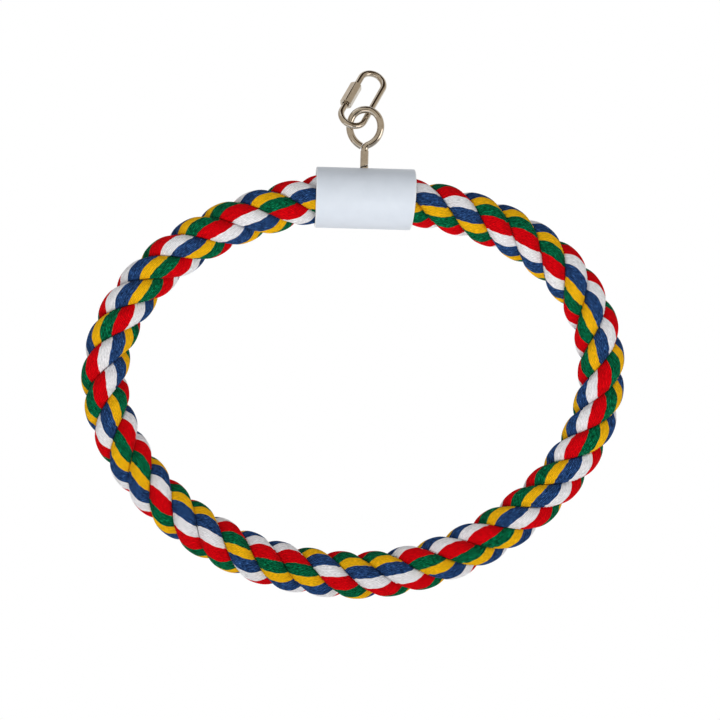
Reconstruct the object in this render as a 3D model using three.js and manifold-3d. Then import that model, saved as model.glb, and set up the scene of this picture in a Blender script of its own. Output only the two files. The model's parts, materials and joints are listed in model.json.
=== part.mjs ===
// Bird swing: a ring of thick three-strand rope whose ends meet in a plastic sleeve. An eye bolt stands in
// the crown of the sleeve, and a quick link goes through its eye and over a bar of the cage.
// Millimetres, +Z up, the ring upright and seen from -Y. The origin is where the bar bears in the link's
// upper bow.
import * as THREE from 'three';
import { mergeVertices } from 'three/addons/utils/BufferGeometryUtils.js';
import Module from 'manifold-3d';

// Quick link
const LINK_WIRE = 4.8;
const LINK_BOW = 9.2; // radius to the middle of the wire
const LINK_TILT = 26.7; // degrees to the right of upright, in the plane of the ring
const LINK_NUT_LENGTH = 20.8;
const LINK_NUT_WALL = 1.5; // bore to flat
const LINK_NUT_FACING = 40; // degrees it is turned on its leg, from where a corner faces the front
const LINK_NUT_CHAMFER = 0.6;
const LINK_NUT_SEAT = 6.6; // leg left free under the closed nut
const LINK_NUT_ROOM = 9.7; // leg left free above it, where it opens to
const STUB_GRIP = 2.0; // lower stub inside the closed nut
const GATE_GAP = 6.0; // between the lower stub and the end of the upper leg

// Eye bolt and its fixing
const EYE_WIRE = 5.4;
const EYE_RADIUS = 11.3; // to the middle of the wire
const EYE_SIDE_RISE = 20; // degrees above level, round the eye, where its sides leave the circle
const EYE_FREE_SIDE = 16; // radius of its free side, from there to the cut end
const EYE_SHANK_SIDE = 15; // radius of its other side, from there to the bend
const EYE_BEND = 4; // bend from that side into the shank
const EYE_END_GAP = 0.5; // between the cut end and the bend
const SHANK_THICKNESS = 6.2; // more than the eye's wire, with its rolled thread
const SHANK_FREE = 13.6; // straight shank between the eye's bend and the crown of the sleeve
const EYE_STATION = 146; // degrees round the eye where the link's lower bow hangs
const BOLT_TAIL = 2; // shank left proud of the lock nut
const WASHER_RIM = 3.5; // bore to edge
const WASHER_THICKNESS = 1.2;
const LOCK_NUT_HEIGHT = 6.5;
const LOCK_NUT_RIM = 0.6; // insert's seat to flat
const LOCK_NUT_CHAMFER = 0.6;
const INSERT_HEIGHT = 1.6;
const INSERT_WALL = 1.1;

// Rope
const STRAND_OFFSET = 10.6; // rope's axis to a strand's middle
const STRAND_DEPTH = 7.0; // half a strand's size across the rope
const STRAND_BREADTH = 9.8; // half a strand's size round the rope
const ROPE_HEART = 2.5; // hollow along the rope's axis, where the strands' inner edges lie
const STRANDS = 3;
const RING_RIGHT = 181; // bolt axis to the rope's axis, at the furthest points of the ring
const RING_LEFT = 189;
const RING_DROP = 281; // sleeve axis down to the rope's axis at the lowest point
const RING_LOW_SHIFT = 1; // bolt axis to the lowest point, leftwards
const RIGHT_DROP = 127; // sleeve axis down to the furthest points
const LEFT_DROP = 138.5;
const MOUTH_SAG_RIGHT = 2; // rope's axis below the sleeve's, at the sleeve's mouths
const MOUTH_SAG_LEFT = 1.5;
const ROPE_END_ROOM = 6.1; // washer to each cut end of the rope

// Sleeve and what holds the rope in it
const SLEEVE_LENGTH = 74;
const SLEEVE_WALL = 2;
const SLEEVE_EDGE = 0.8;
const EDGE_LIMIT = 0.4; // largest share of the wall that its edge takes
const SLEEVE_SHIFT = 1; // middle of the sleeve to the right of the bolt
const TAPE_LENGTH = 10;
const TAPE_THICKNESS = 0.5;
const TAPE_FIT = 0.5; // tape's bore radius beyond the rope's
const GLUE_LENGTH = 9;
const GLUE_THICKNESS = 1.5;

const GAP = 0.3; // between neighbouring solids
const WIRE_SIDES = 12;
const WIRE_STEP = 2.4; // along a wire
const CURVE_DIVISIONS = 800; // to measure a wire's length
const LEAN_STEP = 0.25; // degrees
const LEAN_LIMIT = 90; // degrees, with the link square to the eye
const LEAN_SAMPLES = 120; // along each stretch of the link's wire
const ROUND_SEGMENTS = 36;
const STEPS_PER_TURN = 8; // along a strand, in one turn of its lay
const STRAND_ARC_STEPS = 8; // round the outside of a strand

const linkRadius = LINK_WIRE / 2;
const eyeRadius = EYE_WIRE / 2;
const linkLeg = LINK_NUT_SEAT + LINK_NUT_LENGTH + LINK_NUT_ROOM;
const ropeRadius = STRAND_OFFSET + STRAND_DEPTH;
const tapeBore = ropeRadius + TAPE_FIT;
const glueBore = tapeBore + TAPE_THICKNESS + GAP;
const boreRadius = glueBore + GLUE_THICKNESS + GAP;
const sleeveRadius = boreRadius + SLEEVE_WALL;
const sleeveRight = SLEEVE_SHIFT + SLEEVE_LENGTH / 2;
const sleeveLeft = SLEEVE_SHIFT - SLEEVE_LENGTH / 2;
const shankRadius = SHANK_THICKNESS / 2;
const shankHole = shankRadius + GAP;
const washerRadius = shankHole + WASHER_RIM;
const ropeEnd = washerRadius + ROPE_END_ROOM;
const radians = THREE.MathUtils.degToRad;

const wasm = await Module();
wasm.setup();

function finish(color, roughness, metalness) {
  return new THREE.MeshStandardMaterial({ color, roughness, metalness });
}

const nickel = finish(0xb3a692, 0.28, 1);
const galvanised = finish(0xa9aaa8, 0.45, 1);
const nylon = finish(0xd9d4c4, 0.5, 0);
const whitePlastic = finish(0xdfe4e6, 0.35, 0);
const cotton = finish(0xb8a9a0, 0.95, 0);
const bindingTape = finish(0xd8d0b8, 0.7, 0);
const amberGlue = finish(0xc9b98a, 0.4, 0);

function mesh(name, geometry, material) {
  const piece = new THREE.Mesh(geometry, material);
  piece.name = name;
  return piece;
}

// A plane outline in X and Z, as a curve in space.
class UprightCurve extends THREE.Curve {
  constructor(outline) {
    super();
    this.outline = outline;
    this.arcLengthDivisions = CURVE_DIVISIONS;
  }

  getPoint(t) {
    const point = this.outline.getPoint(t);
    return new THREE.Vector3(point.x, 0, point.y);
  }
}

function wireAlong(outline, radius) {
  const section = new THREE.Shape().absarc(0, 0, radius, 0, 2 * Math.PI);
  const route = new UprightCurve(outline);
  const steps = Math.round(route.getLength() / WIRE_STEP);
  return new THREE.ExtrudeGeometry(section, { extrudePath: route, steps, curveSegments: WIRE_SIDES / 2 });
}

// A ring turned about Z between two radii and two heights.
function ring(inner, outer, low, high) {
  const profile = [[inner, low], [outer, low], [outer, high], [inner, high], [inner, low]];
  return new THREE.LatheGeometry(profile.map(([r, z]) => new THREE.Vector2(r, z)), ROUND_SEGMENTS)
    .rotateX(Math.PI / 2);
}

function solid(geometry) {
  const bare = geometry.clone();
  bare.deleteAttribute('normal');
  bare.deleteAttribute('uv');
  const merged = mergeVertices(bare);
  const vertProperties = new Float32Array(merged.attributes.position.array);
  const triVerts = new Uint32Array(merged.index.array);
  return new wasm.Manifold(new wasm.Mesh({ numProp: 3, vertProperties, triVerts }));
}

function geometryOf(manifold) {
  const { vertProperties, triVerts } = manifold.getMesh();
  const geometry = new THREE.BufferGeometry();
  geometry.setAttribute('position', new THREE.BufferAttribute(new Float32Array(vertProperties), 3));
  geometry.setIndex(new THREE.BufferAttribute(new Uint32Array(triVerts), 1));
  return geometry;
}

function cylinder(radius, low, high) {
  return new THREE.CylinderGeometry(radius, radius, high - low, ROUND_SEGMENTS)
    .rotateX(Math.PI / 2)
    .translate(0, 0, (low + high) / 2);
}

// A hexagon nut on Z with chamfered ends and a plain bore.
function hexNut(flats, bore, low, high, chamfer) {
  const corner = flats / Math.sqrt(3);
  const prism = new THREE.CylinderGeometry(corner, corner, high - low, 6)
    .rotateX(Math.PI / 2)
    .translate(0, 0, (low + high) / 2);
  const profile = [
    [0, low],
    [corner - chamfer, low],
    [corner + GAP, low + chamfer],
    [corner + GAP, high - chamfer],
    [corner - chamfer, high],
    [0, high],
  ];
  const turned = new THREE.LatheGeometry(profile.map(([r, z]) => new THREE.Vector2(r, z)), ROUND_SEGMENTS)
    .rotateX(Math.PI / 2);
  const drill = cylinder(bore, low - chamfer, high + chamfer);
  return geometryOf(solid(prism).intersect(solid(turned)).subtract(solid(drill)));
}

// The link lies in its own X and Z plane, with its upper crown at the origin and its open leg at -X.
const upperBow = linkRadius - LINK_BOW;
const lowerBow = upperBow - linkLeg;
const nutLow = lowerBow + LINK_NUT_SEAT;
const nutHigh = nutLow + LINK_NUT_LENGTH;
const stubTop = nutLow + STUB_GRIP;

function linkBody() {
  const outline = new THREE.Path()
    .moveTo(-LINK_BOW, stubTop)
    .lineTo(-LINK_BOW, lowerBow)
    .absarc(0, lowerBow, LINK_BOW, Math.PI, 2 * Math.PI)
    .lineTo(LINK_BOW, upperBow)
    .absarc(0, upperBow, LINK_BOW, 0, Math.PI)
    .lineTo(-LINK_BOW, stubTop + GATE_GAP);
  return wireAlong(outline, linkRadius);
}

function linkNut() {
  const bore = linkRadius + GAP;
  return hexNut(2 * (bore + LINK_NUT_WALL), bore, nutLow, nutHigh, LINK_NUT_CHAMFER)
    .rotateZ(radians(LINK_NUT_FACING))
    .translate(-LINK_BOW, 0, 0);
}

// The eye's middle is the origin, and its shank goes down Z. Its sides turn about middles of their own.
const rise = radians(EYE_SIDE_RISE);
const freeMiddle = new THREE.Vector2(Math.cos(rise), -Math.sin(rise))
  .multiplyScalar(EYE_FREE_SIDE - EYE_RADIUS);
const shankMiddle = new THREE.Vector2(-Math.cos(rise), -Math.sin(rise))
  .multiplyScalar(EYE_SHANK_SIDE - EYE_RADIUS);

// How far outside the middle of the eye's wire a place in the eye's plane is.
function outsideEye(x, z) {
  if (z > Math.abs(x) * Math.tan(rise)) return Math.hypot(x, z) - EYE_RADIUS;
  const [middle, radius] = x < 0 ? [freeMiddle, EYE_FREE_SIDE] : [shankMiddle, EYE_SHANK_SIDE];
  return Math.hypot(x - middle.x, z - middle.y) - radius;
}

// Where the middle of the lower bow lies, seen from the middle of the eye: on the eye's own wire.
const station = radians(EYE_STATION);
const bowFromEye = new THREE.Vector3(Math.cos(station), 0, Math.sin(station)).multiplyScalar(EYE_RADIUS);

function linkTurn(lean) {
  return new THREE.Euler(-lean, radians(LINK_TILT), 0, 'YXZ');
}

// Least distance between the middles of the two wires, with the link leaning back by an angle.
function wireDistance(lean) {
  let least = Infinity;
  for (let i = 0; i <= LEAN_SAMPLES; i += 1) {
    const turn = Math.PI * (1 + i / LEAN_SAMPLES);
    const bow = new THREE.Vector3(Math.cos(turn), 0, Math.sin(turn)).multiplyScalar(LINK_BOW);
    const leg = new THREE.Vector3(LINK_BOW, 0, linkLeg * i / LEAN_SAMPLES);
    for (const point of [bow, leg]) {
      const place = point.applyEuler(linkTurn(lean)).add(bowFromEye);
      least = Math.min(least, Math.hypot(outsideEye(place.x, place.z), place.y));
    }
  }
  return least;
}

// The link leans back just far enough to clear the eye in front on one side and behind on the other.
function restingLean() {
  const clear = linkRadius + eyeRadius + GAP;
  let degrees = 0;
  while (degrees < LEAN_LIMIT && wireDistance(radians(degrees)) < clear) degrees += LEAN_STEP;
  return radians(degrees);
}

// The shank's side turns in until the bend brings it down onto Z.
const bendReach = EYE_SHANK_SIDE + EYE_BEND;
const splay = Math.acos((EYE_BEND - shankMiddle.x) / bendReach);
const shankTop = shankMiddle.y - bendReach * Math.sin(splay);
const crown = shankTop - SHANK_FREE;
const sleeveAxis = crown - sleeveRadius;
const washerTop = Math.sqrt(boreRadius ** 2 - washerRadius ** 2) - GAP;
const washerLow = washerTop - WASHER_THICKNESS;
const lockNutTop = washerLow - GAP;
const lockNutLow = lockNutTop - LOCK_NUT_HEIGHT;
const shankEnd = lockNutLow - BOLT_TAIL;

// The free side turns in until the inner corner of its cut end comes up to the bend.
function eyeBolt() {
  const away = freeMiddle.clone().sub(new THREE.Vector2(EYE_BEND, shankTop));
  const corner = EYE_FREE_SIDE - eyeRadius;
  const clear = EYE_BEND + eyeRadius + EYE_END_GAP;
  const reach = (away.lengthSq() + corner ** 2 - clear ** 2) / (2 * corner);
  const cutTurn = away.angle() - Math.acos(reach / away.length());
  const low = sleeveAxis + shankEnd;
  const outline = new THREE.Path()
    .moveTo(0, low + GAP)
    .lineTo(0, shankTop)
    .absarc(EYE_BEND, shankTop, EYE_BEND, Math.PI, Math.PI - splay, true)
    .absarc(shankMiddle.x, shankMiddle.y, EYE_SHANK_SIDE, -splay, rise)
    .absarc(0, 0, EYE_RADIUS, rise, Math.PI - rise)
    .absarc(freeMiddle.x, freeMiddle.y, EYE_FREE_SIDE, Math.PI - rise, Math.PI + cutTurn);
  const eye = solid(wireAlong(outline, eyeRadius));
  return geometryOf(eye.add(solid(cylinder(shankRadius, low, shankTop))));
}

// What follows is set out from the sleeve's axis, with the bolt on Z.
function lockNut() {
  const seatRadius = shankHole + INSERT_WALL + GAP;
  const flats = 2 * (seatRadius + LOCK_NUT_RIM);
  const nut = hexNut(flats, shankHole, lockNutLow, lockNutTop, LOCK_NUT_CHAMFER);
  const seat = cylinder(seatRadius, lockNutLow - GAP, lockNutLow + INSERT_HEIGHT + GAP);
  return geometryOf(solid(nut).subtract(solid(seat)));
}

function sleeve() {
  const half = SLEEVE_LENGTH / 2;
  const edge = Math.min(SLEEVE_EDGE, EDGE_LIMIT * SLEEVE_WALL);
  const profile = [
    [boreRadius, -half + edge],
    [boreRadius + edge, -half],
    [sleeveRadius - edge, -half],
    [sleeveRadius, -half + edge],
    [sleeveRadius, half - edge],
    [sleeveRadius - edge, half],
    [boreRadius + edge, half],
    [boreRadius, half - edge],
    [boreRadius, -half + edge],
  ];
  const tube = new THREE.LatheGeometry(profile.map(([r, z]) => new THREE.Vector2(r, z)), ROUND_SEGMENTS)
    .rotateZ(-Math.PI / 2)
    .translate(SLEEVE_SHIFT, 0, 0);
  return geometryOf(solid(tube).subtract(solid(cylinder(shankHole, 0, 2 * sleeveRadius))));
}

// Knots of the rope's axis from its right end, round the ring to its left end: place, heading in degrees,
// pull of the curve before and after the knot as a share of the stretch, and turns of the lay so far.
const ropeKnots = [
  { x: ropeEnd, z: 0, heading: 0, before: 0, after: 0.37, turns: -0.952 },
  { x: sleeveRight, z: -MOUTH_SAG_RIGHT, heading: -7, before: 0.37, after: 0.586, turns: -0.608 },
  { x: RING_RIGHT, z: -RIGHT_DROP, heading: -90, before: 0.532, after: 0.513, turns: 2.203 },
  { x: -RING_LOW_SHIFT, z: -RING_DROP, heading: 180, before: 0.481, after: 0.684, turns: 5.735 },
  { x: -RING_LEFT, z: -LEFT_DROP, heading: 90, before: 0.358, after: 0.347, turns: 9.347 },
  { x: sleeveLeft, z: -MOUTH_SAG_LEFT, heading: 12.5, before: 0.665, after: 0.35, turns: 12.263 },
  { x: -ropeEnd, z: 0, heading: 0, before: 0.39, after: 0, turns: 12.573 },
];

function ropeStations() {
  const stations = [];
  for (let k = 0; k + 1 < ropeKnots.length; k += 1) {
    const [from, to] = [ropeKnots[k], ropeKnots[k + 1]];
    const away = new THREE.Vector2(Math.cos(radians(from.heading)), Math.sin(radians(from.heading)));
    const home = new THREE.Vector2(Math.cos(radians(to.heading)), Math.sin(radians(to.heading)));
    const start = new THREE.Vector2(from.x, from.z);
    const end = new THREE.Vector2(to.x, to.z);
    const span = end.clone().sub(start);
    const stretch = new THREE.CubicBezierCurve(
      start,
      start.clone().addScaledVector(away, from.after * span.dot(away)),
      end.clone().addScaledVector(home, -to.before * span.dot(home)),
      end,
    );
    const steps = Math.round((to.turns - from.turns) * STEPS_PER_TURN);
    for (let i = k === 0 ? 0 : 1; i <= steps; i += 1) {
      const share = i / steps;
      const turns = from.turns + (to.turns - from.turns) * share;
      stations.push({ point: stretch.getPointAt(share), along: stretch.getTangentAt(share), turns });
    }
  }
  return stations;
}

// Half of the section is mirrored: an oval outside, and a flat flank pressed against the next strand. The
// flank starts where the oval meets it or, on a slimmer strand, comes nearest to it.
function strandSection() {
  const half = Math.PI / STRANDS;
  const [c, s] = [Math.cos(half), Math.sin(half)];
  const a = (c / STRAND_DEPTH) ** 2 + (s / STRAND_BREADTH) ** 2;
  const b = STRAND_OFFSET * c / STRAND_DEPTH ** 2;
  const meeting = b * b - a * ((STRAND_OFFSET / STRAND_DEPTH) ** 2 - 1);
  const flankTop = (b + Math.sqrt(Math.max(0, meeting))) / a;
  const last = Math.atan2(flankTop * s / STRAND_BREADTH, (flankTop * c - STRAND_OFFSET) / STRAND_DEPTH);
  const onFlank = (r) => ({ r, angle: half - Math.asin(GAP / r) });
  const points = [];
  for (let i = 1 - STRAND_ARC_STEPS; i < STRAND_ARC_STEPS; i += 2) {
    const t = last * i / STRAND_ARC_STEPS;
    const x = STRAND_OFFSET + STRAND_DEPTH * Math.cos(t);
    const y = STRAND_BREADTH * Math.sin(t);
    points.push({ r: Math.hypot(x, y), angle: Math.atan2(y, x) });
  }
  const [outer, inner] = [onFlank(flankTop), onFlank(ROPE_HEART)];
  const mirrored = ({ r, angle }) => ({ r, angle: -angle });
  return [mirrored(outer), ...points, outer, inner, mirrored(inner)];
}

// A strand winds round the rope's axis. Quads between stations are split along the same diagonal on both
// flanks, so that neighbouring strands stay parallel.
function strand(index) {
  const stations = ropeStations();
  const section = strandSection();
  const sides = section.length;
  const positions = [];
  const triangles = [];
  const place = ({ point, along, turns }, { r, angle }) => {
    const turn = 2 * Math.PI * (turns + index / STRANDS) + angle;
    const out = r * Math.cos(turn);
    positions.push(point.x - along.y * out, -r * Math.sin(turn), point.y + along.x * out);
  };
  for (const station of stations) section.forEach((corner) => place(station, corner));
  for (const station of [stations[0], stations.at(-1)]) place(station, { r: STRAND_OFFSET, angle: 0 });
  for (let i = 0; i + 1 < stations.length; i += 1) {
    for (let j = 0; j < sides; j += 1) {
      const [p, q] = [i * sides + j, i * sides + (j + 1) % sides];
      const [up, uq] = [p + sides, q + sides];
      const lastFlank = j === sides - 1;
      triangles.push(...(lastFlank ? [p, q, up, q, uq, up] : [p, q, uq, p, uq, up]));
    }
  }
  const top = (stations.length - 1) * sides;
  const [startMiddle, endMiddle] = [stations.length * sides, stations.length * sides + 1];
  for (let j = 0; j < sides; j += 1) {
    const next = (j + 1) % sides;
    triangles.push(startMiddle, next, j, endMiddle, top + j, top + next);
  }
  const geometry = new THREE.BufferGeometry();
  geometry.setAttribute('position', new THREE.Float32BufferAttribute(positions, 3));
  geometry.setIndex(triangles);
  return geometry;
}

// A ring round a rope end, on the right or on the left.
function endRing(inner, thickness, length, side) {
  return ring(inner, inner + thickness, ropeEnd + GAP, ropeEnd + GAP + length).rotateY(side * Math.PI / 2);
}

const lean = restingLean();

const link = new THREE.Group();
link.setRotationFromEuler(linkTurn(lean));
link.add(mesh('link_body', linkBody(), nickel), mesh('link_nut', linkNut(), nickel));

const ringGroup = new THREE.Group();
ringGroup.position.set(0, 0, sleeveAxis);
const insert = ring(shankHole, shankHole + INSERT_WALL, lockNutLow, lockNutLow + INSERT_HEIGHT);
ringGroup.add(
  mesh('washer', ring(shankHole, washerRadius, washerLow, washerTop), galvanised),
  mesh('lock_nut', lockNut(), galvanised),
  mesh('lock_nut_insert', insert, nylon),
  mesh('sleeve', sleeve(), whitePlastic),
);
for (let i = 0; i < STRANDS; i += 1) ringGroup.add(mesh(`rope_strand_${i + 1}`, strand(i), cotton));
for (const [name, side] of [['right', 1], ['left', -1]]) {
  const tape = endRing(tapeBore, TAPE_THICKNESS, TAPE_LENGTH, side);
  const glue = endRing(glueBore, GLUE_THICKNESS, GLUE_LENGTH, side);
  ringGroup.add(mesh(`end_tape_${name}`, tape, bindingTape), mesh(`glue_${name}`, glue, amberGlue));
}

const swing = new THREE.Group();
swing.position.set(0, 0, lowerBow).applyEuler(linkTurn(lean)).sub(bowFromEye);
swing.add(mesh('eye_bolt', eyeBolt(), nickel), ringGroup);

const birdSwing = new THREE.Group();
birdSwing.add(link, swing);

export default birdSwing;
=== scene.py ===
import json
import math

import bmesh
import bpy
import numpy as np
from mathutils import Matrix, Vector


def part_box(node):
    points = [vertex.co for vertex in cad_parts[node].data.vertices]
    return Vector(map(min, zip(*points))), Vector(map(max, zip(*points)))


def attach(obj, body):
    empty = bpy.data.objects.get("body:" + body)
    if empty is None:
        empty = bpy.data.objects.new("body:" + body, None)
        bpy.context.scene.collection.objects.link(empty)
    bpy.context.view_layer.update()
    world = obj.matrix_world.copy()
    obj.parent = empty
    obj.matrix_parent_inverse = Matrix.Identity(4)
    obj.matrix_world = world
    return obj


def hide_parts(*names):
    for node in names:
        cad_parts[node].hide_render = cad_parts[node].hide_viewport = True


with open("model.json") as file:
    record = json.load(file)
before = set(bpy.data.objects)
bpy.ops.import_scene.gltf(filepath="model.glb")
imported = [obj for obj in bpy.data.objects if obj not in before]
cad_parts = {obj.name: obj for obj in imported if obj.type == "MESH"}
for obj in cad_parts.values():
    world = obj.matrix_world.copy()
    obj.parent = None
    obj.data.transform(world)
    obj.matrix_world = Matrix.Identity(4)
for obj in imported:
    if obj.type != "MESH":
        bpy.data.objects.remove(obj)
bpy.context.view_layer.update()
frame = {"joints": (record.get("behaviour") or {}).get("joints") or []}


# The view: square on to the ring from the front, from far enough that near and far sides look alike. The
# swing hangs a little askew in it, turned clockwise, so the camera is rolled by as much the other way.
VIEW_RIGHT = 0.0009  # middle of the picture, from the middle of the eye
VIEW_DROP = 0.1755
VIEW_WIDTH = 0.5369  # across the picture, at the ring
VIEW_DISTANCE = 2.4
VIEW_ROLL = math.radians(-1.6)

joints = {joint["name"]: joint for joint in frame["joints"]}
eye = Vector(joints["eye_rock"]["pos_m"])
bolt = Vector(joints["ring_swivel"]["pos_m"])
camera_data = bpy.data.cameras.new("view")
camera_data.lens = camera_data.sensor_width * VIEW_DISTANCE / VIEW_WIDTH
camera = bpy.data.objects.new("view", camera_data)
camera.location = eye + Vector((VIEW_RIGHT, -VIEW_DISTANCE, -VIEW_DROP))
camera.rotation_euler = (math.pi / 2, VIEW_ROLL, 0)
bpy.context.scene.collection.objects.link(camera)
bpy.context.scene.camera = camera
bpy.context.scene.view_settings.view_transform = "Standard"


# The three strands of the rope. Each is a thick bundle of soft cotton yarn in five colours, twisted on
# itself, and the three are laid up right-handed into a ring whose ends meet in the sleeve.
STRANDS = 3
STRAND_OFFSET = 0.0106  # rope's axis to a strand's middle
STRAND_DEPTH = 0.0070  # half a strand's size across the rope
STRAND_BREADTH = 0.0098  # half a strand's size round the rope
FLANK_GAP = 0.0003  # strand to the plane that it shares with the next
FLANK_TURNS = (1.6, 2.0)  # angles round a strand between which its oval turns into that flank
FLANK_SLOPE = 0.1  # least slope towards that plane that is reckoned with
STRAND_TWIST = -1.46  # turns of the yarns for one turn of the lay
YARNS = 40
YARN_CROWDING = 0.18  # how much closer the yarns lie on the flanks than on the face
YARN_RELIEF = 0.00032  # depth of the grooves between yarns
YARN_ROUND = 0.7  # less than 1 makes a yarn fuller than a half wave
YARN_COLUMNS = 4  # mesh columns across a yarn
LAY_ROWS = 44  # mesh rows in a turn of the lay
ROUTE_SAMPLES = 400  # places at which a stretch of the route is measured
ANGLE_SAMPLES = 721  # angles at which the crowding is measured
TOUCH = 1e-6  # places nearer than this are one

ROPE_END = 0.013  # bolt to a cut end of the rope, in the sleeve
RING_RIGHT = 0.181  # bolt to the rope's axis where it is farthest right
RING_LEFT = 0.189
RING_DROP = 0.281  # sleeve's axis down to the rope's where it is lowest
RING_LOW_SHIFT = 0.001  # lowest place, to the left of the bolt
RIGHT_DROP = 0.127  # sleeve's axis down to where the rope is farthest right
LEFT_DROP = 0.1385
MOUTH_SAG_RIGHT = 0.002  # sleeve's axis down to the rope's in the sleeve's mouth
MOUTH_SAG_LEFT = 0.0015

sleeve_low, sleeve_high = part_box("sleeve")
sleeve_middle = (sleeve_low + sleeve_high) / 2
rope_start = Vector((bolt.x, bolt.y, sleeve_middle.z))
mouth_right = sleeve_high.x - bolt.x
mouth_left = sleeve_low.x - bolt.x

# Knots of the rope's axis: X and Z from the bolt and the sleeve's axis, heading in degrees, pull of the
# curve before and after the knot as a share of the stretch, turns of the lay so far, and where on its way
# round each strand's colours start.
ROPE_KNOTS = (
    (ROPE_END, 0, 0, 0, 0.37, -0.952, (0.014, -0.089, 0.546)),
    (mouth_right, -MOUTH_SAG_RIGHT, -7, 0.37, 0.586, -0.608, (0.014, -0.089, 0.546)),
    (RING_RIGHT, -RIGHT_DROP, -90, 0.532, 0.513, 2.203, (0.196, 0.107, 0.696)),
    (-RING_LOW_SHIFT, -RING_DROP, 180, 0.481, 0.684, 5.735, (0.091, -0.055, 0.629)),
    (-RING_LEFT, -LEFT_DROP, 90, 0.358, 0.347, 9.347, (0.002, -0.118, 0.689)),
    (mouth_left, -MOUTH_SAG_LEFT, 12.5, 0.665, 0.35, 12.263, (0.058, -0.121, 0.694)),
    (-ROPE_END, 0, 0, 0.39, 0, 12.573, (0.058, -0.121, 0.694)),
)


def rope_stretch(start, end):
    """Even stations of the rope between two knots: points, directions, turns and colour starts."""
    x0, z0, heading0, _, pull0, turns0, colours0 = start
    x1, z1, heading1, pull1, _, turns1, colours1 = end
    first, last = np.array([x0, z0]), np.array([x1, z1])
    away = np.array([math.cos(math.radians(heading0)), math.sin(math.radians(heading0))])
    home = np.array([math.cos(math.radians(heading1)), math.sin(math.radians(heading1))])
    span = last - first
    hold0 = first + away * pull0 * (span @ away)
    hold1 = last - home * pull1 * (span @ home)

    def at(t):
        t = t[:, None]
        s = 1 - t
        return s ** 3 * first + 3 * t * s * s * hold0 + 3 * t * t * s * hold1 + t ** 3 * last

    t = np.linspace(0, 1, ROUTE_SAMPLES)
    measured = np.concatenate([[0], np.cumsum(np.linalg.norm(np.diff(at(t), axis=0), axis=1))])
    share = np.linspace(0, 1, round((turns1 - turns0) * LAY_ROWS) + 1)
    even = np.interp(share * measured[-1], measured, t)
    step = 1e-4
    along = at(np.clip(even + step, 0, 1)) - at(np.clip(even - step, 0, 1))
    along /= np.linalg.norm(along, axis=1)[:, None]
    turns = turns0 + (turns1 - turns0) * share
    colours = np.outer(1 - share, colours0) + np.outer(share, colours1)
    return at(even), along, turns, colours


stretches = [rope_stretch(*pair) for pair in zip(ROPE_KNOTS, ROPE_KNOTS[1:])]
rope_points, rope_along, rope_turns, rope_colours = (
    np.concatenate([parts[0], *(part[1:] for part in parts[1:])]) for parts in zip(*stretches)
)


def yarn_angle(lie):
    """Angle round a strand, from its outermost line, of a yarn that lies so far round the bundle."""
    angle = np.linspace(-np.pi, np.pi, ANGLE_SAMPLES)
    crowded = angle + YARN_CROWDING * (1 - np.cos(angle)) ** 2 * np.sin(angle)
    return np.interp((lie + np.pi) % (2 * np.pi) - np.pi, crowded, angle)


def strand_surface(share, row, index):
    """Places on a strand, from the share of the way round its yarns and the rope's row."""
    lay = 2 * np.pi * rope_turns[row]
    seat = lay + 2 * np.pi * index / STRANDS
    turn = yarn_angle(2 * np.pi * (share - rope_colours[row, index]) + STRAND_TWIST * lay - seat)
    oval = 1 / np.hypot(np.cos(turn) / STRAND_DEPTH, np.sin(turn) / STRAND_BREADTH)
    ridge = np.abs(np.sin(np.pi * YARNS * share)) ** YARN_ROUND
    reach = oval + YARN_RELIEF * (ridge - 1)
    half = np.pi / STRANDS
    slope = np.abs(np.sin(turn)) * np.cos(half) - np.cos(turn) * np.sin(half)
    flank = (STRAND_OFFSET * np.sin(half) - FLANK_GAP) / np.maximum(slope, FLANK_SLOPE)
    pressed = np.clip((np.abs(turn) - FLANK_TURNS[0]) / (FLANK_TURNS[1] - FLANK_TURNS[0]), 0, 1)
    reach = np.minimum(reach, flank)
    reach += (flank - reach) * pressed * pressed * (3 - 2 * pressed)
    out = STRAND_OFFSET * np.cos(seat) + reach * np.cos(seat + turn)
    front = STRAND_OFFSET * np.sin(seat) + reach * np.sin(seat + turn)
    x = rope_start.x + rope_points[row, 0] - rope_along[row, 1] * out
    z = rope_start.z + rope_points[row, 1] + rope_along[row, 0] * out
    return np.stack([x, rope_start.y - front, z], axis=1)


def new_piece(name, bm, material, crease=180):
    """A finished object from a bmesh: smooth, with edges sharper than the crease angle kept sharp."""
    mesh = bpy.data.meshes.new(name)
    bm.to_mesh(mesh)
    bm.free()
    mesh.polygons.foreach_set("use_smooth", [True] * len(mesh.polygons))
    mesh.set_sharp_from_angle(angle=math.radians(crease))
    mesh.materials.append(material)
    piece = bpy.data.objects.new(name, mesh)
    bpy.context.scene.collection.objects.link(piece)
    return piece


def strand_piece(index, material):
    """A flat grid of yarns by rows, rolled into the strand, with the yarns and rows as its UV map."""
    rows = len(rope_turns) - 1
    bm = bmesh.new()
    lay = bm.loops.layers.uv.new("lay")
    bmesh.ops.create_grid(bm, x_segments=YARNS * YARN_COLUMNS, y_segments=rows, size=0.5)
    for face in bm.faces:
        for loop in face.loops:
            loop[lay].uv = (loop.vert.co.x + 0.5, loop.vert.co.y + 0.5)
    flat = np.array([vertex.co[:2] for vertex in bm.verts]) + 0.5
    placed = strand_surface(flat[:, 0], np.rint(flat[:, 1] * rows).astype(int), index)
    for vertex, place in zip(bm.verts, placed):
        vertex.co = place
    bmesh.ops.remove_doubles(bm, verts=bm.verts, dist=TOUCH)
    bmesh.ops.holes_fill(bm, edges=[edge for edge in bm.edges if edge.is_boundary], sides=0)
    bmesh.ops.recalc_face_normals(bm, faces=bm.faces)
    return new_piece(f"strand_{index + 1}", bm, material)


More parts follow.
